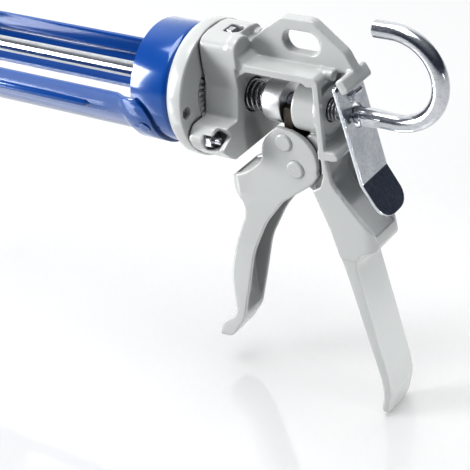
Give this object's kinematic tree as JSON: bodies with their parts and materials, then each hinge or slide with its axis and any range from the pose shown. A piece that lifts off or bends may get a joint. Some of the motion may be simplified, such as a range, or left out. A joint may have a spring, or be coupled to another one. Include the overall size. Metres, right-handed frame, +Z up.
{
  "type": "caulking gun",
  "caption": "Hand-operated caulking gun with a half-shell swivelling cartridge cradle, friction-driven push rod with a hook, squeeze trigger and thumb release.",
  "frame": {"origin": "on the push rod's axis, at the rear face of the disc where the cradle joins the body", "axes": "+X forward along the push rod towards the nozzle, +Y to the left, +Z up; the handle hangs down"},
  "size_m": [0.3594, 0.066, 0.2099],
  "materials": {
    "blue_paint": "gloss enamel on pressed sheet steel",
    "grey_paint": "semi-gloss warm grey enamel on die casting",
    "rod_zinc": "bright zinc plate with drawing marks",
    "zinc_plate": "bright zinc plate",
    "bright_steel": "turned and polished steel",
    "hard_steel": "dark hardened steel",
    "screw_steel": "zinc plated screw steel",
    "spring_steel": "oiled spring wire",
    "pin_steel": "pin heads painted over with the body"
  },
  "bodies": {
    "frame": {"body_casting": "grey_paint", "body_studs": "screw_steel", "body_nuts": "screw_steel", "mounting_disc": "grey_paint", "toothed_washer": "bright_steel", "swivel_retainer": "zinc_plate", "retainer_screws": "screw_steel", "swivel_set_screws": "screw_steel", "trigger_pivot_pin": "pin_steel", "brake_spring": "spring_steel", "return_spring": "spring_steel"},
    "cradle": {"cradle_shell": "blue_paint", "rear_ring": "blue_paint", "front_cap": "blue_paint", "cradle_rivets": "blue_paint"},
    "rod": {"push_rod": "rod_zinc", "piston_plate": "zinc_plate", "piston_washer": "zinc_plate", "piston_nut": "screw_steel"},
    "drive": {"drive_sleeve": "bright_steel", "grip_plate_front": "hard_steel", "grip_plate_middle": "hard_steel", "grip_plate_rear": "hard_steel", "sleeve_cover": "bright_steel"},
    "trigger": {"trigger": "grey_paint", "pusher_pin": "pin_steel"},
    "fork": {"drive_fork": "hard_steel"},
    "release": {"release_plate": "zinc_plate"}
  },
  "joints": [
    {"name": "cradle_swivel", "type": "hinge", "parent": "frame", "child": "cradle", "pos_m": [0, 0, 0], "axis": [1, 0, 0], "continuous": true},
    {"name": "rod_slide", "type": "slide", "parent": "frame", "child": "rod", "axis": [1, 0, 0], "range_m": [-0.205, 0]},
    {"name": "trigger_hinge", "type": "hinge", "parent": "frame", "child": "trigger", "pos_m": [-0.0456, 0, -0.0288], "axis": [0, 1, 0], "range_deg": [0, 35], "stiffness_Nm_per_rad": 0.9, "springref_deg": -20.05},
    {"name": "drive_slide", "type": "slide", "parent": "frame", "child": "drive", "axis": [1, 0, 0], "range_m": [0, 0.007], "deforming": ["return_spring"]},
    {"name": "fork_hinge", "type": "hinge", "parent": "trigger", "child": "fork", "pos_m": [-0.0405, 0, -0.0156], "axis": [0, 1, 0], "range_deg": [-36, 0]},
    {"name": "release_hinge", "type": "hinge", "parent": "frame", "child": "release", "pos_m": [-0.07, 0, 0.017], "axis": [0, -1, 0], "range_deg": [0, 6], "stiffness_Nm_per_rad": 0.8, "springref_deg": -11.46}
  ],
  "couplings": [
    {"joint": "drive_slide", "follows": "trigger_hinge", "m_per_rad": 0.0113},
    {"joint": "fork_hinge", "follows": "trigger_hinge", "ratio": -1}
  ]
}
